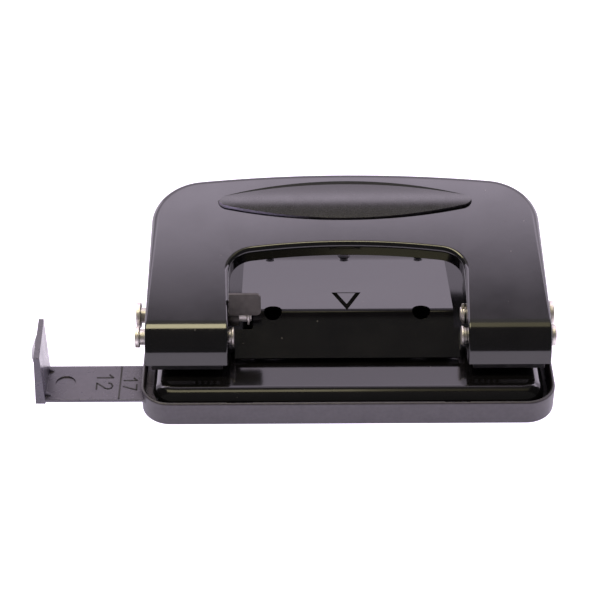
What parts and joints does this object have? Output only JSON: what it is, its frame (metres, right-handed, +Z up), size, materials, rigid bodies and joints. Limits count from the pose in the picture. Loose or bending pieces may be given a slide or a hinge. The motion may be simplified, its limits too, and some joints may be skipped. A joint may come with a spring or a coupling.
{
  "type": "desk hole punch",
  "caption": "Small desk punch: a rolled steel lever with an open middle drives a punch under each arm, over a steel plate in a chip tray with a pull-out paper guide.",
  "frame": {"origin": "centre of the chip tray's underside, on the desk", "axes": "+X to the right across the punch, +Y from the front to the back, +Z up"},
  "size_m": [0.1309, 0.0654, 0.0309],
  "materials": {
    "lever_enamel": "gloss black enamel",
    "black_enamel": "gloss black enamel",
    "blackened_steel": "blackened, satin",
    "rivet_steel": "plain steel",
    "inlay_plastic": "satin black",
    "nickel": "nickel plated",
    "punch_steel": "ground and hardened",
    "spring_wire": "drawn wire",
    "lock_steel": "blackened, matt",
    "tray_plastic": "moulded, fine grain",
    "guide_plastic": "moulded, fine grain"
  },
  "bodies": {
    "base": {"base_plate": "black_enamel", "hood": "black_enamel", "bracket_left": "blackened_steel", "bracket_right": "blackened_steel", "hood_rivets": "rivet_steel", "bracket_rivets": "rivet_steel", "spring_left": "spring_wire", "spring_right": "spring_wire"},
    "tray": {"chip_tray": "tray_plastic"},
    "guide": {"paper_guide": "guide_plastic"},
    "lever": {"handle": "lever_enamel", "handle_inlay": "inlay_plastic", "pivot_pin_left": "nickel", "pivot_pin_right": "nickel", "drive_pin_left": "nickel", "drive_pin_right": "nickel", "drive_clips": "nickel"},
    "lock": {"lock_slider": "lock_steel"},
    "left_punch": {"punch_left": "punch_steel"},
    "right_punch": {"punch_right": "punch_steel"}
  },
  "joints": [
    {"name": "lever_hinge", "type": "hinge", "parent": "base", "child": "lever", "pos_m": [0, -0.015, 0.01445], "axis": [-1, 0, 0], "range_deg": [0, 20], "stiffness_Nm_per_rad": 0.05, "springref_deg": -28.65, "deforming": ["spring_left", "spring_right"]},
    {"name": "left_punch_slide", "type": "slide", "parent": "base", "child": "left_punch", "axis": [0, 0, -1], "range_m": [0, 0.00252]},
    {"name": "right_punch_slide", "type": "slide", "parent": "base", "child": "right_punch", "axis": [0, 0, -1], "range_m": [0, 0.00252]},
    {"name": "lock_slide", "type": "slide", "parent": "lever", "child": "lock", "axis": [1, 0, 0], "range_m": [0, 0.0019]},
    {"name": "tray_pull", "type": "slide", "parent": "base", "child": "tray", "axis": [0, 0, -1], "range_m": [0, 0.012]},
    {"name": "guide_slide", "type": "slide", "parent": "tray", "child": "guide", "axis": [1, 0, 0], "range_m": [-0.015, 0.0216]}
  ],
  "couplings": [
    {"joint": "left_punch_slide", "follows": "lever_hinge", "m_per_rad": 0.00708},
    {"joint": "right_punch_slide", "follows": "lever_hinge", "m_per_rad": 0.00708}
  ]
}
